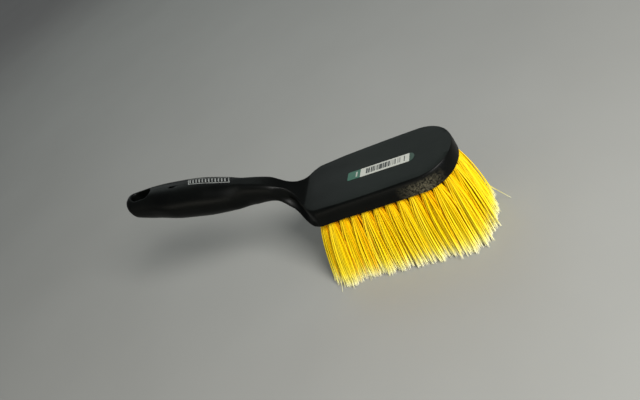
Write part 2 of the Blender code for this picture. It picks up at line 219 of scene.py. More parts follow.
def add_camera():
    """A camera at the photograph's viewpoint, rolled and shifted as its frame was."""
    back = Vector((
        math.sin(CAMERA_AZIMUTH) * math.cos(CAMERA_ELEVATION),
        -math.cos(CAMERA_AZIMUTH) * math.cos(CAMERA_ELEVATION),
        math.sin(CAMERA_ELEVATION),
    ))
    level_right = (-back).cross(Vector((0.0, 0.0, 1.0))).normalized()
    level_up = level_right.cross(-back)
    right = math.cos(CAMERA_ROLL) * level_right + math.sin(CAMERA_ROLL) * level_up
    up = math.cos(CAMERA_ROLL) * level_up - math.sin(CAMERA_ROLL) * level_right
    aim = Vector((TOE_X - AIM_INSET, 0.0, BLOCK_TOP))
    turn = Matrix((right, up, back)).transposed().to_4x4()
    data = bpy.data.cameras.new("photo_camera")
    camera = bpy.data.objects.new("photo_camera", data)
    bpy.context.collection.objects.link(camera)
    camera.matrix_world = Matrix.Translation(aim + back * CAMERA_DISTANCE) @ turn
    data.sensor_width = SENSOR_WIDTH
    data.lens = SENSOR_WIDTH * FOCAL_PIXELS / PICTURE_SIZE[0]
    data.shift_x = (PICTURE_SIZE[0] / 2.0 - AIM_PIXEL[0]) / PICTURE_SIZE[0]
    data.shift_y = (AIM_PIXEL[1] - PICTURE_SIZE[1] / 2.0) / PICTURE_SIZE[0]
    data.clip_start = CLIP_START
    data.clip_end = CLIP_END
    bpy.context.scene.camera = camera


# Small helpers


def mix(start, end, share):
    return start + (end - start) * share


def smooth_share(share):
    share = min(max(share, 0.0), 1.0)
    return share * share * (3.0 - 2.0 * share)


def smooth_value(place, places, values):
    """Read a smooth curve through chosen points, without overshoot between them."""
    slopes = [(values[i + 1] - values[i]) / (places[i + 1] - places[i]) for i in range(len(places) - 1)]
    tangents = [slopes[0]]
    for before, after in zip(slopes, slopes[1:]):
        steady = before * after > 0.0
        tangents.append(2.0 * before * after / (before + after) if steady else 0.0)
    tangents.append(slopes[-1])
    place = min(max(place, places[0]), places[-1])
    step = min(max(bisect.bisect_left(places, place), 1), len(places) - 1) - 1
    width = places[step + 1] - places[step]
    share = (place - places[step]) / width
    rest = 1.0 - share
    return (
        values[step] * (1.0 + 2.0 * share) * rest * rest
        + tangents[step] * width * share * rest * rest
        + values[step + 1] * share * share * (3.0 - 2.0 * share)
        - tangents[step + 1] * width * share * share * rest
    )


def add_piece(name, mesh, material, nodes=()):
    """A piece of the object, riding on the frame's one body."""
    mesh.materials.append(material)
    piece = bpy.data.objects.new(name, mesh)
    bpy.context.collection.objects.link(piece)
    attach(piece, "root")
    if nodes:
        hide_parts(*nodes)


class Nodes:
    """A material's node tree, with short calls for adding and joining nodes."""

    def __init__(self, name):
        self.material = bpy.data.materials.new(name)
        self.material.use_nodes = True
        self.tree = self.material.node_tree
        self.shader = self.tree.nodes["Principled BSDF"]

    def add(self, kind, **settings):
        node = self.tree.nodes.new(kind)
        for key, value in settings.items():
            setattr(node, key, value)
        return node

    def join(self, output, target):
        self.tree.links.new(output, target)

    def math(self, operation, first, second=None):
        node = self.add("ShaderNodeMath", operation=operation)
        for socket, value in zip(node.inputs, (first, second)):
            if value is None:
                continue
            if isinstance(value, (int, float)):
                socket.default_value = value
            else:
                self.join(value, socket)
        return node.outputs[0]

    def between(self, value, low, high):
        above = self.math("GREATER_THAN", value, low)
        return self.math("MULTIPLY", above, self.math("LESS_THAN", value, high))

    def place(self, scale=(1.0, 1.0, 1.0)):
        """Object coordinates, stretched along each axis."""
        coordinates = self.add("ShaderNodeTexCoord")
        mapping = self.add("ShaderNodeMapping")
        mapping.inputs["Scale"].default_value = scale
        self.join(coordinates.outputs["Object"], mapping.inputs["Vector"])
        return mapping.outputs["Vector"]

    def noise(self, place, scale, detail=4.0, roughness=0.5, distortion=0.0):
        node = self.add("ShaderNodeTexNoise")
        node.inputs["Scale"].default_value = scale
        node.inputs["Detail"].default_value = detail
        node.inputs["Roughness"].default_value = roughness
        node.inputs["Distortion"].default_value = distortion
        self.join(place, node.inputs["Vector"])
        return node.outputs["Fac"]

    def span(self, value, low, high, to_low=0.0, to_high=1.0):
        node = self.add("ShaderNodeMapRange")
        limits = (("From Min", low), ("From Max", high), ("To Min", to_low), ("To Max", to_high))
        for key, number in limits:
            node.inputs[key].default_value = number
        self.join(value, node.inputs["Value"])
        return node.outputs["Result"]

    def ramp(self, value, stops, interpolation="LINEAR"):
        node = self.add("ShaderNodeValToRGB")
        node.color_ramp.interpolation = interpolation
        elements = node.color_ramp.elements
        while len(elements) < len(stops):
            elements.new(1.0)
        for element, (position, colour) in zip(elements, stops):
            element.position = position
            element.color = (*colour, 1.0)
        self.join(value, node.inputs["Fac"])
        return node.outputs["Color"]

    def blend(self, share, first, second, mode="MIX"):
        node = self.add("ShaderNodeMix", data_type="RGBA", blend_type=mode)
        sockets = [s for s in node.inputs if s.type == "RGBA"]
        for socket, value in zip(sockets, (first, second)):
            if isinstance(value, tuple):
                socket.default_value = (*value, 1.0)
            else:
                self.join(value, socket)
        if isinstance(share, float):
            node.inputs["Factor"].default_value = share
        else:
            self.join(share, node.inputs["Factor"])
        return next(s for s in node.outputs if s.type == "RGBA")

    def bump(self, height, strength, distance, normal=None):
        node = self.add("ShaderNodeBump")
        node.inputs["Strength"].default_value = strength
        node.inputs["Distance"].default_value = distance
        self.join(height, node.inputs["Height"])
        if normal is not None:
            self.join(normal, node.inputs["Normal"])
        return node.outputs["Normal"]


# Materials


def body_plastic():
    """Black plastic from an etched mould: pebbled, streaked and flecked with dust, with painted sheen
    on its upper faces and a painted reflection on its side near the toe.
    """
    nodes = Nodes("black_moulded_plastic")
    place = nodes.place()
    streaks = nodes.noise(nodes.place((12.0, 60.0, 60.0)), 1.0, 5.0, 0.6, 0.4)
    patches = nodes.noise(place, 45.0, 4.0, 0.55, 0.2)
    pebbles = nodes.noise(place, 950.0, 2.0, 0.5)
    grain = nodes.noise(place, 2600.0, 3.0, 0.6)
    plain_black = nodes.ramp(patches, (
        (0.30, (0.0006, 0.0008, 0.0007)),
        (0.55, (0.0009, 0.0012, 0.0010)),
        (0.75, (0.0016, 0.0019, 0.0016)),
    ))
    # Painted sheen: upward faces get a lighter colour, fully on the front of the head's top, a quarter
    # as much at the heel and on the grip
    painted_top_sheen = nodes.ramp(patches, (
        (0.30, (0.0045, 0.0062, 0.0055)),
        (0.55, (0.0062, 0.0082, 0.0072)),
        (0.75, (0.0085, 0.0108, 0.0096)),
    ))
    facing = nodes.add("ShaderNodeSeparateXYZ")
    nodes.join(nodes.add("ShaderNodeNewGeometry").outputs["Normal"], facing.inputs["Vector"])
    upwards = nodes.span(facing.outputs["Z"], 0.90, 0.995)
    split = nodes.add("ShaderNodeSeparateXYZ")
    nodes.join(place, split.inputs["Vector"])
    heel, top_sheen_start = TOE_X - HEAD_LENGTH, TOE_X - TOP_SHEEN_START_INSET
    along_head = nodes.span(split.outputs["X"], heel, top_sheen_start, 0.25, 1.0)
    colour = nodes.blend(nodes.math("MULTIPLY", upwards, along_head), plain_black, painted_top_sheen)
    # Painted reflection: mottled beige patches on sideways faces near the toe on the -Y side, standing
    # in for bristles and floor mirrored there
    sheen_mottle = nodes.span(nodes.noise(place, 620.0, 3.0, 0.65), 0.40, 0.66)
    sheen_distance = nodes.add("ShaderNodeVectorMath", operation="DISTANCE")
    nodes.join(place, sheen_distance.inputs[0])
    sheen_middle = (TOE_X - SIDE_SHEEN_INSET, -HEAD_WIDTH / 2.0, TRIM_LENGTH + SIDE_SHEEN_RISE)
    sheen_distance.inputs[1].default_value = sheen_middle
    near_sheen = nodes.span(sheen_distance.outputs["Value"], SIDE_SHEEN_REACH, 0.0)
    outwards = nodes.span(facing.outputs["Z"], 0.45, 0.15)
    painted_reflection = nodes.math("MULTIPLY", nodes.math("MULTIPLY", sheen_mottle, near_sheen), outwards)
    colour = nodes.blend(painted_reflection, colour, (0.12, 0.108, 0.070))
    specks = nodes.span(nodes.noise(place, 850.0, 2.0, 0.4), 0.70, 0.78)
    dusty = nodes.blend(nodes.math("MULTIPLY", specks, 0.05), colour, (0.10, 0.10, 0.095))
    ink = printed_row(nodes)
    nodes.join(nodes.blend(ink, dusty, (0.21, 0.22, 0.21)), nodes.shader.inputs["Base Color"])
    patchy = nodes.span(patches, 0.3, 0.7, 0.34, 0.44)
    rough = nodes.math("ADD", patchy, nodes.span(streaks, 0.3, 0.7, -0.04, 0.05))
    nodes.join(rough, nodes.shader.inputs["Roughness"])
    fine = nodes.bump(grain, 0.20, GRAIN_HEIGHT)
    nodes.join(nodes.bump(pebbles, 0.45, PEBBLE_HEIGHT, fine), nodes.shader.inputs["Normal"])
    nodes.shader.inputs["IOR"].default_value = 1.49
    nodes.shader.inputs["Specular IOR Level"].default_value = 0.09
    return nodes.material


def printed_row(nodes):
    """A mask for a plain row of slanted bars in a thin border, worn in places, printed on the grip."""
    split = nodes.add("ShaderNodeSeparateXYZ")
    nodes.join(nodes.place(), split.inputs["Vector"])
    x, z = split.outputs["X"], split.outputs["Z"]
    y = nodes.math("SUBTRACT", split.outputs["Y"], PRINT_SIDE_SHIFT)
    slanted = nodes.math("ADD", x, nodes.math("MULTIPLY", y, PRINT_SLANT))
    middle = TOE_X - (PRINT_FRONT_INSET + PRINT_BACK_INSET) / 2.0
    half_length = (PRINT_BACK_INSET - PRINT_FRONT_INSET) / 2.0
    from_middle = nodes.math("ABSOLUTE", nodes.math("SUBTRACT", slanted, middle))
    from_centre_line = nodes.math("ABSOLUTE", y)

    def box(edge):
        along = nodes.math("LESS_THAN", from_middle, half_length - edge)
        across = nodes.math("LESS_THAN", from_centre_line, PRINT_HALF_WIDTH - edge)
        return nodes.math("MULTIPLY", along, across)

    border = nodes.math("SUBTRACT", box(0.0), box(PRINT_BORDER))
    from_start = nodes.math("SUBTRACT", slanted, middle)
    share = nodes.math("MULTIPLY", from_start, PRINT_BARS / (2.0 * half_length))
    repeat = nodes.math("FRACT", nodes.math("ADD", share, PRINT_BARS))
    bar = nodes.math("LESS_THAN", repeat, PRINT_BAR_SHARE)
    bars = nodes.math("MULTIPLY", bar, box(2.0 * PRINT_BORDER))
    above = nodes.math("GREATER_THAN", z, BLOCK_TOP + HANDLE_RISE / 2.0)
    worn = nodes.span(nodes.noise(nodes.place(), 420.0, 4.0, 0.7), 0.34, 0.46, 0.35, 1.0)
    printed = nodes.math("MULTIPLY", nodes.math("MAXIMUM", border, bars), above)
    return nodes.math("MULTIPLY", printed, worn)


def bristle_plastic():
    """Soft yellow filament: deeper at the root, milky and pale where the tips are split, with painted
    shade and painted highlights taken from each filament's tone.
    """
    nodes = Nodes("yellow_bristle")
    along = nodes.add("ShaderNodeAttribute", attribute_name="along").outputs["Fac"]
    tone_and_shade = nodes.add("ShaderNodeAttribute", attribute_name="tone_and_shade").outputs["Fac"]
    base = nodes.ramp(along, (
        (0.00, (0.72, 0.37, 0.001)),
        (0.14, (0.80, 0.52, 0.002)),
        (0.40, (0.83, 0.59, 0.002)),
        (0.68, (0.85, 0.63, 0.005)),
        (0.80, (0.90, 0.72, 0.030)),
        (0.88, (0.94, 0.83, 0.17)),
        (0.94, (0.97, 0.92, 0.42)),
        (1.00, (1.00, 0.97, 0.72)),
    ))
    # Painted shade: a low tone makes filaments darker and more orange, as inside the tufts, in inner
    # tufts and on their +X flanks
    shade = nodes.ramp(tone_and_shade, (
        (0.00, (0.90, 0.50, 0.20)),
        (0.30, (0.98, 0.68, 0.45)),
        (0.52, (1.00, 0.92, 0.85)),
        (0.72, (1.00, 1.00, 1.00)),
    ))
    shaded_base = nodes.blend(nodes.span(along, 0.80, 0.98, 1.0, 0.25), base, shade, "MULTIPLY")
    # Painted highlight: filaments with the highest tone are blended towards pale yellow
    painted_highlight = nodes.span(tone_and_shade, 0.70, 1.0, 0.0, 0.22)
    nodes.join(nodes.blend(painted_highlight, shaded_base, (1.0, 0.92, 0.08)), nodes.shader.inputs["Base Color"])
    nodes.join(nodes.span(along, 0.0, 1.0, 0.34, 0.55), nodes.shader.inputs["Roughness"])
    nodes.shader.inputs["IOR"].default_value = 1.5
    nodes.shader.inputs["Specular IOR Level"].default_value = 0.1
    return nodes.material


def label_paper():
    """A coated paper label: green ends, a pale middle and a plain row of bars."""
    nodes = Nodes("label_paper")
    uv = nodes.add("ShaderNodeUVMap", uv_map="label_layout")
    split = nodes.add("ShaderNodeSeparateXYZ")
    nodes.join(uv.outputs["UV"], split.inputs["Vector"])
    along, across = split.outputs["X"], split.outputs["Y"]
    green, dark_green = (0.016, 0.085, 0.055), (0.010, 0.034, 0.022)
    pale, ink = (0.40, 0.41, 0.375), (0.030, 0.033, 0.031)
    ends = nodes.ramp(along, (
        (0.0, green),
        (GREEN_END_SHARE, pale),
        (DARK_END_SHARE, dark_green),
    ), "CONSTANT")
    columns = nodes.math("FLOOR", nodes.math("MULTIPLY", along, BAR_COLUMNS))
    random_column = nodes.add("ShaderNodeTexWhiteNoise", noise_dimensions="1D")
    nodes.join(columns, random_column.inputs["W"])
    sparse = nodes.span(along, 0.45, 0.80, 0.26, 0.50)
    printed = nodes.math("GREATER_THAN", random_column.outputs["Value"], sparse)
    inside = nodes.between(along, *BARS_ALONG_SHARES)
    high = nodes.between(across, *BARS_ACROSS_SHARES)
    bars = nodes.math("MULTIPLY", printed, nodes.math("MULTIPLY", inside, high))
    tick_inside = nodes.between(along, *TICK_ALONG_SHARES)
    tick = nodes.math("MULTIPLY", tick_inside, nodes.between(across, *TICK_ACROSS_SHARES))
    base = nodes.blend(bars, ends, ink)
    base = nodes.blend(nodes.math("MULTIPLY", tick, 0.7), base, pale)
    fibres = nodes.noise(nodes.place((300.0, 900.0, 300.0)), 1.0, 4.0, 0.6)
    grubby = nodes.ramp(fibres, ((0.3, (0.86, 0.85, 0.82)), (0.7, (1.0, 1.0, 1.0))))
    nodes.join(nodes.blend(1.0, base, grubby, "MULTIPLY"), nodes.shader.inputs["Base Color"])
    nodes.join(nodes.span(fibres, 0.3, 0.7, 0.38, 0.52), nodes.shader.inputs["Roughness"])
    nodes.join(nodes.bump(fibres, 0.15, PAPER_HEIGHT), nodes.shader.inputs["Normal"])
    return nodes.material


def anchor_steel():
    """Tinned steel strip with fine drawing lines."""
    nodes = Nodes("anchor_steel")
    lines = nodes.noise(nodes.place((4000.0, 300.0, 4000.0)), 1.0, 3.0)
    nodes.join(
        nodes.ramp(lines, ((0.3, (0.42, 0.42, 0.41)), (0.7, (0.62, 0.61, 0.59)))),
        nodes.shader.inputs["Base Color"],
    )
    nodes.join(nodes.span(lines, 0.3, 0.7, 0.25, 0.42), nodes.shader.inputs["Roughness"])
    nodes.shader.inputs["Metallic"].default_value = 1.0
    return nodes.material


def floor_surface():
    """Pale matt laminate with a trace of mottle."""
    nodes = Nodes("floor_surface")
    mottle = nodes.noise(nodes.place(), 6.0, 3.0, 0.5)
    nodes.join(
        nodes.ramp(mottle, ((0.3, (0.262, 0.264, 0.250)), (0.7, (0.278, 0.280, 0.266)))),
        nodes.shader.inputs["Base Color"],
    )
    nodes.shader.inputs["Roughness"].default_value = 0.55
    return nodes.material


# Body


def block_half_width(inset):
    """Half the width of the block at a distance behind its toe, before the toe rounds it off."""
    middle = HEAD_LENGTH / 2.0
    taper = (HEAD_WIDTH - HEEL_WIDTH) / 2.0
    return HEAD_WIDTH / 2.0 - taper * ((inset - middle) / middle) ** 2


def section_at(inset):
    """Half width, top, bottom, two edge radii and upper narrowing, at a distance behind the toe."""
    along = (inset - HEAD_LENGTH) / HANDLE_REACH
    top = BLOCK_TOP + HANDLE_RISE * smooth_value(along, ALONG_SHARES, RISE_SHARES)
    depth = mix(BLOCK_HEIGHT, GRIP_DEPTH, smooth_value(along, ALONG_SHARES, DEPTH_SHARES))
    bottom = top - depth
    neck = mix(NECK_WIDTH, GRIP_WIDTH, smooth_value(along, ALONG_SHARES, WIDTH_SHARES)) / 2.0
    shoulder = smooth_share((inset - HEAD_LENGTH + SHOULDER_LEAD) / SHOULDER_LENGTH)
    ridge = mix(block_half_width(min(inset, HEAD_LENGTH)), neck, shoulder)
    half_width = ridge + NECK_FLARE * smooth_value(along, ALONG_SHARES, FLARE_SHARES)
    ridge_share = ridge / half_width
    past_end = (inset - BODY_LENGTH + END_LENGTH) / END_LENGTH
    if past_end > 0.0:
        closing = math.sqrt(max(1.0 - past_end * past_end, 0.0))
        half_width *= closing
        top -= END_TOP_DROP * (1.0 - closing)
        bottom += END_BOTTOM_LIFT * (1.0 - closing)
    full = Vector((half_width, (top - bottom) / 2.0)) * FULL_ROUND_SHARE
    upper_share = smooth_value(along, ALONG_SHARES, UPPER_SHARES)
    upper = Vector((TOP_EDGE_INSET, TOP_EDGE_DROP)).lerp(full, upper_share)
    lower_share = smooth_value(along, ALONG_SHARES, LOWER_SHARES)
    lower = Vector((BOTTOM_EDGE_RADIUS, BOTTOM_EDGE_RADIUS)).lerp(full, lower_share)
    return half_width, top, bottom, upper, lower, ridge_share


FLAT_STEPS = 5
CORNER_STEPS = 12
END_ROWS = 22
HANDLE_ROWS = 110
SHOULDER_ROWS = 36
HEAD_ROWS = 20
TOE_ROWS = 40


def half_profile(section):
    """Points from the top centre line out over the edge and back to the bottom centre line."""
    half_width, top, bottom, upper, lower, ridge_share = section
    upper = Vector((min(upper.x, half_width * FULL_ROUND_SHARE), upper.y))
    lower = Vector((min(lower.x, half_width * FULL_ROUND_SHARE), lower.y))
    points = []
    for step in range(FLAT_STEPS):
        points.append((mix(0.0, half_width - upper.x, step / FLAT_STEPS), top))
    for step in range(CORNER_STEPS + 1):
        angle = math.pi / 2.0 * step / CORNER_STEPS
        out = half_width - upper.x * (1.0 - math.sin(angle))
        points.append((out, top - upper.y * (1.0 - math.cos(angle))))
    for step in range(1, FLAT_STEPS):
        points.append((half_width, mix(top - upper.y, bottom + lower.y, step / FLAT_STEPS)))
    for step in range(CORNER_STEPS + 1):
        angle = math.pi / 2.0 * step / CORNER_STEPS
        out = half_width - lower.x * (1.0 - math.cos(angle))
        points.append((out, bottom + lower.y * (1.0 - math.sin(angle))))
    for step in range(1, FLAT_STEPS + 1):
        points.append((mix(half_width - lower.x, 0.0, step / FLAT_STEPS), bottom))
    flare_height = (top - bottom) * FLARE_TOP_SHARE
    leans = [smooth_share((height - bottom) / flare_height) for _, height in points]
    return [(out * mix(1.0, ridge_share, lean), height) for (out, height), lean in zip(points, leans)]


def body_insets():
    """Distances behind the toe of the rows of points, from the handle's end to the toe's centre."""
    end_start = BODY_LENGTH - END_LENGTH
    shoulder_start = HEAD_LENGTH - SHOULDER_LEAD
    shoulder_end = shoulder_start + SHOULDER_LENGTH
    insets = []
    for step in range(1, END_ROWS + 1):
        angle = math.pi / 2.0 * (1.0 - step / (END_ROWS + 1))
        insets.append(end_start + END_LENGTH * math.sin(angle))
    insets += [mix(end_start, shoulder_end, step / HANDLE_ROWS) for step in range(HANDLE_ROWS)]
    insets += [mix(shoulder_end, shoulder_start, step / SHOULDER_ROWS) for step in range(SHOULDER_ROWS)]
    insets += [mix(shoulder_start, TOE_LENGTH, step / HEAD_ROWS) for step in range(HEAD_ROWS + 1)]
    return insets


def half_body_rows():
    """Rows of points over the half of the body on the +Y side."""
    rows = []
    for inset in body_insets():
        profile = half_profile(section_at(inset))
        rows.append([Vector((TOE_X - inset, out, height)) for out, height in profile])
    half_width, top, bottom, upper, *rest = section_at(TOE_LENGTH)
    for step in range(1, TOE_ROWS + 1):
        angle = math.pi / 2.0 * step / TOE_ROWS
        reach = Vector((TOE_LENGTH * math.sin(angle), half_width * math.cos(angle)))
        edge = Vector((mix(upper.x, TOE_EDGE_INSET, math.sin(angle) ** 2), upper.y))
        row = []
        for out, height in half_profile((reach.length, top, bottom, edge, *rest)):
            place = reach * (out / reach.length)
            row.append(Vector((TOE_X - TOE_LENGTH + place.x, place.y, height)))
        rows.append(row)
    return rows


def build_body_shell():
    """The whole body as one closed shell, with both sides joined along the centre line."""
    shell = bmesh.new()
    rows = half_body_rows()
    for side in (1.0, -1.0):
        grid = [[shell.verts.new((point.x, point.y * side, point.z)) for point in row] for row in rows]
        for near, far in zip(grid, grid[1:]):
            for index in range(len(near) - 1):
                shell.faces.new((near[index], far[index], far[index + 1], near[index + 1]))
    bmesh.ops.remove_doubles(shell, verts=shell.verts, dist=MERGE_DISTANCE)
    bmesh.ops.holes_fill(shell, edges=[edge for edge in shell.edges if edge.is_boundary])
    bmesh.ops.recalc_face_normals(shell, faces=shell.faces)
    return shell


def surface_height(inset, out):
    """Height of the body's upper surface at a distance behind the toe and out from the middle."""
    half_width, top, _, upper, _, _ = section_at(inset)
    past_flat = abs(out) - (half_width - upper.x)
    if past_flat <= 0.0:
        return top
    return top - upper.y * (1.0 - math.sqrt(max(1.0 - (past_flat / upper.x) ** 2, 0.0)))


def slot_outline(length, width, steps=14):
    """A round-ended slot, centred, with its length along X."""
    radius = width / 2.0
    straight = (length - width) / 2.0
    points = []
    for side in (1.0, -1.0):
        for step in range(steps + 1):
            angle = math.pi * (step / steps - 1.0 / 2.0)
            along = straight + radius * math.cos(angle)
            points.append((side * along, side * radius * math.sin(angle)))
    return points


def add_stack(mesh_data, rings):
    """Join rings of points, listed from the bottom up, into one closed body."""
    rows = [[mesh_data.verts.new(point) for point in ring] for ring in rings]
    count = len(rows[0])
    for lower, upper in zip(rows, rows[1:]):
        for index in range(count):
            after = (index + 1) % count
            mesh_data.faces.new((lower[index], lower[after], upper[after], upper[index]))
    mesh_data.faces.new(rows[0][::-1])
    mesh_data.faces.new(rows[-1])


def slot_rings(inset, length, width, rounding, floor_height, steps=6):
    """Rings of a slot cut down from the upper surface, its rim rounded over to meet that surface."""
    levels = [(0.0, None)]
    for step in range(steps + 1):
        angle = math.pi / 2.0 * step / steps
        levels.append((rounding * (1.0 - math.cos(angle)), rounding * (1.0 - math.sin(angle))))
    rings = []
    for growth, depth in levels:
        ring = []
        for x, y in slot_outline(length + 2.0 * growth, width + 2.0 * growth):
            height = floor_height if depth is None else surface_height(inset - x, y) - depth
            ring.append((TOE_X - inset + x, y, height))
        rings.append(ring)
    rings.append([(x, y, z + CUT_LIFT) for x, y, z in rings[-1]])
    return rings


def build_slot_cutter():
    """The hang hole with its rounded rim, and the shallow recess where the mould was filled."""
    cutter = bmesh.new()
    hole_inset = BODY_LENGTH - HANG_HOLE_INSET
    hole = (HANG_HOLE_LENGTH, HANG_HOLE_WIDTH, HANG_HOLE_ROUNDING, BLOCK_TOP)
    add_stack(cutter, slot_rings(hole_inset, *hole))
    gate_inset = BODY_LENGTH - GATE_INSET
    floor_height = surface_height(gate_inset, 0.0) - GATE_DEPTH
    gate = (GATE_LENGTH, GATE_WIDTH, GATE_DEPTH / 3.0, floor_height)
    add_stack(cutter, slot_rings(gate_inset, *gate))
    return cutter


def splay(place):
    """How far the bristles lean out from a root to the trimmed face, growing towards the edges."""
    middle = HEAD_LENGTH / 2.0
    along = (place.x - TOE_X + middle) / (middle - OUTER_RING_INSET)
    across = place.y / (HEAD_WIDTH / 2.0 - OUTER_RING_INSET - SIDE_RING_SHIFT)
    side = mix(SIDE_SPLAY_AT_HEEL, SIDE_SPLAY_AT_TOE, (along + 1.0) / 2.0)
    return Vector((along * (TOE_SPLAY if along > 0.0 else HEEL_SPLAY), side * across))


def tuft_roots():
    """The place of each tuft on the block's underside, read from the frame's plugs."""
    roots = {}
    for node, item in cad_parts.items():
        if not node.startswith("tuft_"):
            continue
        rim = [v.co.xy for v in item.data.vertices if abs(v.co.z - TRIM_LENGTH) < HOLE_CLEARANCE]
        low = Vector((min(p.x for p in rim), min(p.y for p in rim)))
        high = Vector((max(p.x for p in rim), max(p.y for p in rim)))
        roots[node] = (low + high) / 2.0
    return roots


def build_hole_cutters(roots):
    cutter = bmesh.new()
    sides = 18
    radius = TUFT_RADIUS + HOLE_CLEARANCE
    levels = (
        (TRIM_LENGTH - OVERRUN, radius + HOLE_CLEARANCE),
        (TRIM_LENGTH, radius + HOLE_CLEARANCE),
        (TRIM_LENGTH + HOLE_CLEARANCE, radius),
        (TRIM_LENGTH + HOLE_DEPTH, radius),
    )
    for root in roots.values():
        slope = splay(root) / TRIM_LENGTH
        rings = []
        for height, reach in levels:
            centre = root - slope * (height - TRIM_LENGTH)
            ring = []
            for step in range(sides):
                angle = 2.0 * math.pi * step / sides
                x = centre.x + reach * math.cos(angle)
                ring.append((x, centre.y + reach * math.sin(angle), height))
            rings.append(ring)
        add_stack(cutter, rings)
    return cutter


def to_mesh(name, mesh_data):
    mesh = bpy.data.meshes.new(name)
    mesh_data.normal_update()
    mesh_data.to_mesh(mesh)
    mesh_data.free()
    return mesh


def cut_mesh(name, shell, cutters):
    """The shell with each cutter taken away, as a new mesh."""
    whole = bpy.data.objects.new(name, to_mesh(name, shell))
    bpy.context.collection.objects.link(whole)
    tools = []
    for number, cutter in enumerate(cutters):
        tool = bpy.data.objects.new(f"{name}_tool_{number}", to_mesh(f"{name}_tool_{number}", cutter))
        bpy.context.collection.objects.link(tool)
        cut = whole.modifiers.new(f"cut_{number}", "BOOLEAN")
        cut.operation = "DIFFERENCE"
        cut.solver = "EXACT"
        cut.object = tool
        tools.append(tool)
    graph = bpy.context.evaluated_depsgraph_get()
    mesh = bpy.data.meshes.new_from_object(whole.evaluated_get(graph))
    for item in (whole, *tools):
        bpy.data.objects.remove(item, do_unlink=True)
    return mesh


def add_body(roots):
    cutters = (build_hole_cutters(roots), build_slot_cutter())
    mesh = cut_mesh("body_shell", build_body_shell(), cutters)
    mesh.materials.clear()
    mesh.shade_smooth()
    mesh.set_sharp_from_angle(angle=math.radians(32.0))
    add_piece("moulded_body", mesh, body_plastic(), ["brush_body"])


# Label


def add_label():
    """A thin flat sticker with a rounded front end, lying on the block's top."""
    label = bmesh.new()
    layout = label.loops.layers.uv.new("label_layout")
    columns, rows = 60, 10
    half_width = LABEL_WIDTH / 2.0
    straight = LABEL_LENGTH / 2.0 - half_width
    grid = []
    for column in range(columns + 1):
        x = mix(-LABEL_LENGTH / 2.0, LABEL_LENGTH / 2.0, column / columns)
        past = max(x - straight, 0.0) / half_width
        reach = half_width * math.sqrt(max(1.0 - past * past, 0.0))
        from_back = x + LABEL_LENGTH / 2.0
        if from_back < LABEL_CORNER:
            short = LABEL_CORNER - from_back
            reach -= LABEL_CORNER - math.sqrt(max(LABEL_CORNER ** 2 - short ** 2, 0.0))
        reach = max(reach, half_width * LABEL_TIP_SHARE)
        grid.append([Vector((x, mix(-reach, reach, row / rows), 0.0)) for row in range(rows + 1)])
    seat = Vector((0.0, 0.0, LABEL_SEAT))
    face_up = Vector((0.0, 0.0, LABEL_SEAT + LABEL_THICKNESS))
    top = [[label.verts.new(point + face_up) for point in line] for line in grid]
    bottom = [[label.verts.new(point + seat) for point in line] for line in grid]
    for sheet, flip in ((top, False), (bottom, True)):
        for near, far in zip(sheet, sheet[1:]):
            for index in range(rows):
                corners = (near[index], far[index], far[index + 1], near[index + 1])
                label.faces.new(corners[::-1] if flip else corners)
    rim = [(column, 0) for column in range(columns)]
    rim += [(columns, row) for row in range(rows)]
    rim += [(column, rows) for column in range(columns, 0, -1)]
    rim += [(0, row) for row in range(rows, 0, -1)]
    for (a, b), (c, d) in zip(rim, rim[1:] + rim[:1]):
        label.faces.new((bottom[a][b], bottom[c][d], top[c][d], top[a][b]))
    for face in label.faces:
        for loop in face.loops:
            x, y, _ = loop.vert.co
            loop[layout].uv = (x / LABEL_LENGTH + 1.0 / 2.0, y / LABEL_WIDTH + 1.0 / 2.0)
    mesh = to_mesh("label_sticker", label)
    mesh.shade_smooth()
    mesh.set_sharp_from_angle(angle=math.radians(40.0))
    middle = TOE_X - LABEL_FRONT_INSET - LABEL_LENGTH / 2.0
    turn = Matrix.Rotation(LABEL_TURN, 4, "Z")
    mesh.transform(Matrix.Translation((middle, -LABEL_SIDE_SHIFT, BLOCK_TOP)) @ turn)
    add_piece("label_sticker", mesh, label_paper(), ["label"])


# Bristles

FILAMENTS = 210
SHAFT_RINGS = 7
SHAFT_RADIUS = 0.00027
SHAFT_SWELL = 1.6
SHAFT_THICK_SHARES = (0.85, 1.15)
HAIR_RADIUS = 0.00014
HAIRS = 4
HAIR_FAN = (0.0002, 0.0011)
HAIR_SHORTENING = 0.0012
HAIR_FAN_SHARES = (0.15, 0.6)
HAIR_TAPER_SHARES = (1.25, 0.6)
TIP_WANDER = 0.0009
SHORT_SHARE = 0.12
SHORT_RISE = 0.005
CLUMPS = 6
CLUMP_PULL_SHARE = 0.30
FILL_SHARE = 0.97
TURN_WANDER = 0.45
SEED = 1000
TUBE_SIDES = 3
SPLIT_SHARE = 0.87
ROOT_DEPTH = 0.006
# Tone of tufts and filaments: random variation, plus painted shade on inner tufts, inside each tuft and
# on its +X flank, and painted light on its -X flank and towards the toe
OUTER_LIT_TONE = 0.52
INNER_SHADED_TONE = 0.30
TUFT_TONE = 0.06
TOE_PAINTED_LIGHT = 0.18
FLANK_LIGHT_AND_SHADE = 0.22
DEPTH_PAINTED_SHADE = 0.30
FILAMENT_TONE = 0.13
BAKE_EDGE = 0.02
BAKE_STEP = 0.008


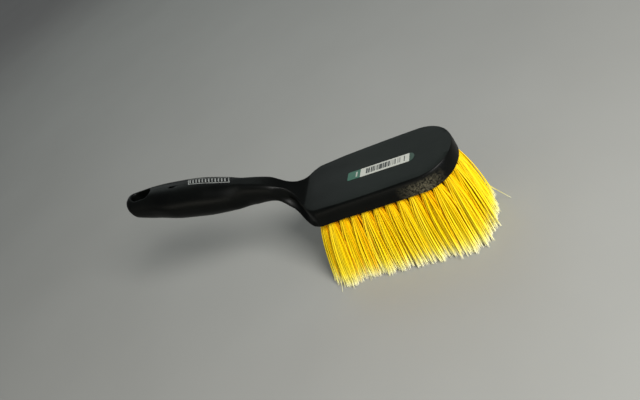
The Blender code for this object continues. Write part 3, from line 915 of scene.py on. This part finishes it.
def path_points(root, offset, spread, tip_shift, bow, height_top, height_tip, shares):
    """Places down a filament: out of its hole, puffing out below it, then leaning with a bend."""
    points = []
    for share in shares:
        height = mix(height_top, height_tip, share)
        drop = (TRIM_LENGTH - height) / TRIM_LENGTH
        below = max(drop, 0.0)
        opened = 1.0 - (1.0 - below) ** puff_power(root)
        place = root + offset.lerp(spread, opened) + splay(root) * min(drop, 0.0)
        place += tip_shift * below
        place += bow * math.sin(math.pi * below)
        points.append(Vector((place.x, place.y, height)))
    return points


def tube(points, radii):
    """A thin tube that tapers along its points, with open ends so that they shade evenly."""
    sides = TUBE_SIDES
    verts, faces = [], []
    count = len(points)
    for index, (point, radius) in enumerate(zip(points, radii)):
        ahead = points[min(index + 1, count - 1)] - points[max(index - 1, 0)]
        across = ahead.cross(Vector((0.0, 1.0, 0.0))).normalized()
        other = ahead.cross(across).normalized()
        for side in range(sides):
            angle = 2.0 * math.pi * side / sides
            verts.append(point + radius * (math.cos(angle) * across + math.sin(angle) * other))
    for index in range(count - 1):
        for side in range(sides):
            after = (side + 1) % sides
            low, high = index * sides, (index + 1) * sides
            faces.append((low + side, low + after, high + after, high + side))
    return verts, faces


def filament_roots(draw):
    """Places over the round end of a tuft, evenly scattered as seeds in a sunflower."""
    golden = math.pi * (3.0 - math.sqrt(5.0))
    places = []
    for number in range(FILAMENTS):
        reach = TUFT_RADIUS * math.sqrt((number + 1.0 / 2.0) / FILAMENTS) * FILL_SHARE
        angle = golden * number + draw.normal(0.0, TURN_WANDER)
        places.append(Vector((reach * math.cos(angle), reach * math.sin(angle))))
    return places


def head_shares(root):
    """A root's place from heel to toe and from the near to the far side, each from -1 to 1."""
    along = (root.x - TOE_X + HEAD_LENGTH / 2.0) / (HEAD_LENGTH / 2.0 - OUTER_RING_INSET)
    across = root.y / (HEAD_WIDTH / 2.0 - OUTER_RING_INSET - SIDE_RING_SHIFT)
    return along, across


def toe_share(along, start=TOE_SET_START_SHARE):
    return smooth_share((along - start) / (1.0 - start))


def bristle_set(root):
    """How far tips lie sideways: to the near side at the toe, and outwards at the heel's corners."""
    along, across = head_shares(root)
    far = smooth_share(across)
    start = mix(TOE_SET_START_SHARE, TOE_FAR_START_SHARE, far)
    toe = toe_share(along, start) * (1.0 + TOE_SET_TILT_SHARE * across + TOE_FAR_SET_SHARE * far)
    at_heel = 1.0 if along < HEEL_ROW_SHARE else 0.0
    past_start = (abs(across) - HEEL_CORNER_START_SHARE) / (1.0 - HEEL_CORNER_START_SHARE)
    corner = smooth_share(past_start * 2.0)
    side = math.copysign(HEEL_CORNER_SET * corner, across)
    return Vector((HEEL_SET, side)) * at_heel - Vector((0.0, TOE_SET * toe))


def puff_power(root):
    """How fast a tuft opens below its root: slower on the toe's far side."""
    along, across = head_shares(root)
    return mix(PUFF_POWER, TOE_PUFF_POWER, toe_share(along) * smooth_share(across))


def build_bristles(node, root, draw, stray_tips):
    """All the filaments of one tuft as one mesh, with their length, and their tone with painted light
    and shade, kept as attributes.
    """
    verts, faces, along, tone_and_shade, turn = [], [], [], [], []

    def add_tube(points, radii, from_share, to_share, shade):
        made, joined = tube(points, radii)
        start = len(verts)
        verts.extend(made)
        faces.extend(tuple(start + corner for corner in face) for face in joined)
        rings = len(points)
        for index in range(rings):
            along.extend([mix(from_share, to_share, index / (rings - 1))] * TUBE_SIDES)
            turn.extend(range(TUBE_SIDES))
        tone_and_shade.extend([shade] * len(made))

    clumps = []
    for _ in range(CLUMPS):
        angle = draw.uniform(0.0, 2.0 * math.pi)
        reach = TUFT_RADIUS * math.sqrt(draw.uniform(0.0, 1.0))
        clumps.append(Vector((reach * math.cos(angle), reach * math.sin(angle))))
    outwards = splay(root).normalized() if splay(root).length else Vector((0.0, 0.0))
    is_outer = node.startswith("tuft_outer")
    toe_place, far_place = head_shares(root)
    toe = toe_share(toe_place)
    # Painted light and shade: inner tufts darker, tufts towards the toe lighter
    tuft_shade = draw.normal(OUTER_LIT_TONE if is_outer else INNER_SHADED_TONE, TUFT_TONE) + TOE_PAINTED_LIGHT * toe
    crowding = mix(1.0, TOE_FAR_SPREAD_SHARE, toe * smooth_share(far_place))
    crowding *= 1.0 if is_outer else INNER_SPREAD_SHARE
    top_height = TRIM_LENGTH + ROOT_DEPTH
    for offset in filament_roots(draw):
        nearest = min(clumps, key=lambda clump: (clump - offset).length)
        pull = draw.uniform(0.0, CLUMP_PULL_SHARE)
        spread = offset.lerp(nearest, pull) * draw.uniform(*FILAMENT_SPREAD_SHARES) * crowding
        stray = draw.uniform(0.0, 1.0) < STRAY_SHARE
        wander = STRAY_WANDER if stray else FILAMENT_WANDER
        spread += Vector((draw.normal(0.0, wander), draw.normal(0.0, wander)))
        tip_shift = splay(root + spread) + bristle_set(root)
        bow = Vector((draw.normal(0.0, FILAMENT_BOW), draw.normal(0.0, FILAMENT_BOW)))
        tip_height = abs(draw.normal(0.0, TIP_WANDER))
        if draw.uniform(0.0, 1.0) < SHORT_SHARE:
            tip_height += draw.uniform(0.0, SHORT_RISE)
        # Painted light and shade: filaments inside the tuft and on its +X flank darker, outward-facing
        # ones and those on its -X flank lighter
        painted_light_and_shade = (outwards.dot(offset) * DEPTH_PAINTED_SHADE - offset.x * FLANK_LIGHT_AND_SHADE) / TUFT_RADIUS
        shade = min(max(tuft_shade + painted_light_and_shade + draw.normal(0.0, FILAMENT_TONE), 0.0), 1.0)
        shade = 1.0 if stray else shade
        shares = [SPLIT_SHARE * step / (SHAFT_RINGS - 1) for step in range(SHAFT_RINGS)]
        route = (root, offset, spread, tip_shift, bow, top_height, tip_height)
        shaft = path_points(*route, shares)
        thick = SHAFT_RADIUS * draw.uniform(*SHAFT_THICK_SHARES)
        radii = [thick * mix(1.0, SHAFT_SWELL, share) for share in shares]
        add_tube(shaft, radii, 0.0, SPLIT_SHARE, shade)
        end = path_points(*route, (SPLIT_SHARE, (1.0 + SPLIT_SHARE) / 2.0, 1.0))
        for hair in range(HAIRS):
            angle = 2.0 * math.pi * hair / HAIRS + draw.uniform(0.0, 2.0)
            out = Vector((math.cos(angle), math.sin(angle), 0.0)) * draw.uniform(*HAIR_FAN)
            shorten = Vector((0.0, 0.0, draw.uniform(0.0, HAIR_SHORTENING)))
            early, late = HAIR_FAN_SHARES
            points = [end[0] + out * early, end[1] + out * late, end[2] + out + shorten]
            thick_share, thin_share = HAIR_TAPER_SHARES
            radii = (HAIR_RADIUS * thick_share, HAIR_RADIUS, HAIR_RADIUS * thin_share)
            add_tube(points, radii, SPLIT_SHARE, 1.0, shade)
    for x, y, height in stray_tips:
        shares = [step / SHAFT_RINGS for step in range(SHAFT_RINGS + 1)]
        reach = Vector((x, y)) - root
        points = [(root + reach * share ** STRAY_BEND).to_3d() for share in shares]
        for point, share in zip(points, shares):
            point.z = mix(top_height, height, share)
        radii = [mix(SHAFT_RADIUS, HAIR_RADIUS, share) for share in shares]
        add_tube(points, radii, 0.0, 1.0, 1.0)
    mesh = bpy.data.meshes.new(node.replace("tuft", "bristles"))
    mesh.from_pydata([tuple(v) for v in verts], [], faces)
    for name, values in (("along", along), ("tone_and_shade", tone_and_shade)):
        layer = mesh.attributes.new(name, "FLOAT", "POINT")
        layer.data.foreach_set("value", np.array(values, np.float32))
    corners = np.empty(len(mesh.loops), np.int32)
    mesh.loops.foreach_get("vertex_index", corners)
    last_step = 1.0 - BAKE_EDGE - TUBE_SIDES * BAKE_STEP
    across = mix(BAKE_EDGE, last_step, np.array(tone_and_shade)) + np.array(turn) * BAKE_STEP
    down = mix(BAKE_EDGE, 1.0 - BAKE_EDGE, np.array(along))
    places = np.stack([across[corners], down[corners]], 1)
    layout = mesh.uv_layers.new(name="OFBake")
    layout.uv.foreach_set("vector", places.astype(np.float32).ravel())
    mesh.shade_smooth()
    return mesh


def add_bristles(roots):
    material = bristle_plastic()
    strays = {}
    for tip in STRAY_TIPS:
        nearest = min(roots, key=lambda name: (Vector(tip[:2]) - roots[name]).length)
        strays.setdefault(nearest, []).append(tip)
    for number, (node, root) in enumerate(sorted(roots.items())):
        draw = np.random.default_rng(SEED + number)
        mesh = build_bristles(node, root, draw, strays.get(node, ()))
        add_piece(mesh.name, mesh, material, [node])


def add_anchors(roots):
    """A small flat strip across the fold of each tuft, pressed into the walls of its hole."""
    strips = bmesh.new()
    for root in roots.values():
        centre_height = TRIM_LENGTH + ROOT_DEPTH + ANCHOR_WIDTH / 2.0
        centre = root - splay(root) * ((centre_height - TRIM_LENGTH) / TRIM_LENGTH)
        made = bmesh.ops.create_cube(strips, size=1.0)
        size = (ANCHOR_THICKNESS, ANCHOR_LENGTH, ANCHOR_WIDTH)
        bmesh.ops.scale(strips, vec=size, verts=made["verts"])
        bmesh.ops.translate(strips, vec=(centre.x, centre.y, centre_height), verts=made["verts"])
    bevel = {"offset": ANCHOR_EDGE, "segments": 2, "affect": "EDGES", "profile": 1.0 / 2.0}
    bmesh.ops.bevel(strips, geom=strips.edges[:], **bevel)
    mesh = to_mesh("tuft_anchors", strips)
    add_piece("tuft_anchors", mesh, anchor_steel())


# Stage


def add_floor():
    mesh = bpy.data.meshes.new("floor")
    sides = ((-1.0, -1.0), (1.0, -1.0), (1.0, 1.0), (-1.0, 1.0))
    corners = [(FLOOR_REACH * x, FLOOR_REACH * y, 0.0) for x, y in sides]
    mesh.from_pydata(corners, [], [(0, 1, 2, 3)])
    mesh.materials.append(floor_surface())
    floor = bpy.data.objects.new("floor", mesh)
    bpy.context.collection.objects.link(floor)
    floor.location.z = -FLOOR_DROP


LIGHTS = (
    # name, place, aim, size, power, colour
    ("window", (0.88, -0.62, 0.93), (0.0, 0.0, 0.05), (0.48, 0.48), 28.0, (1.0, 0.985, 0.955)),
    ("far_wall", (-0.55, 1.15, 0.95), (0.0, 0.0, 0.07), (1.3, 0.8), 3.6, (0.90, 1.0, 0.97)),
    ("side_window", (1.25, -0.62, 0.18), (0.13, -0.01, 0.07), (0.25, 0.20), 2.0, (0.82, 0.92, 1.0)),
    ("room", (-0.25, -1.10, 0.30), (0.05, 0.0, 0.03), (1.0, 0.4), 3.0, (1.0, 0.95, 0.80)),
)


def add_light(name, place, aim, size, power, colour):
    data = bpy.data.lights.new(name, "AREA")
    data.shape = "RECTANGLE"
    data.size, data.size_y = size
    data.energy = power
    data.color = colour
    lamp = bpy.data.objects.new(name, data)
    bpy.context.collection.objects.link(lamp)
    lamp.location = place
    lamp.rotation_mode = "QUATERNION"
    lamp.rotation_quaternion = (Vector(aim) - Vector(place)).to_track_quat("-Z", "Y")


def add_world():
    world = bpy.data.worlds.new("studio")
    bpy.context.scene.world = world
    world.use_nodes = True
    background = world.node_tree.nodes["Background"]
    background.inputs["Color"].default_value = (0.93, 0.96, 1.0, 1.0)
    background.inputs["Strength"].default_value = 0.22


def add_lights():
    add_world()
    for name, place, aim, size, power, colour in LIGHTS:
        add_light(name, place, aim, size, power, colour)


def main():
    bpy.context.scene.view_settings.view_transform = "Standard"
    add_camera()
    roots = tuft_roots()
    add_body(roots)
    add_label()
    add_bristles(roots)
    add_anchors(roots)
    add_floor()
    add_lights()


main()
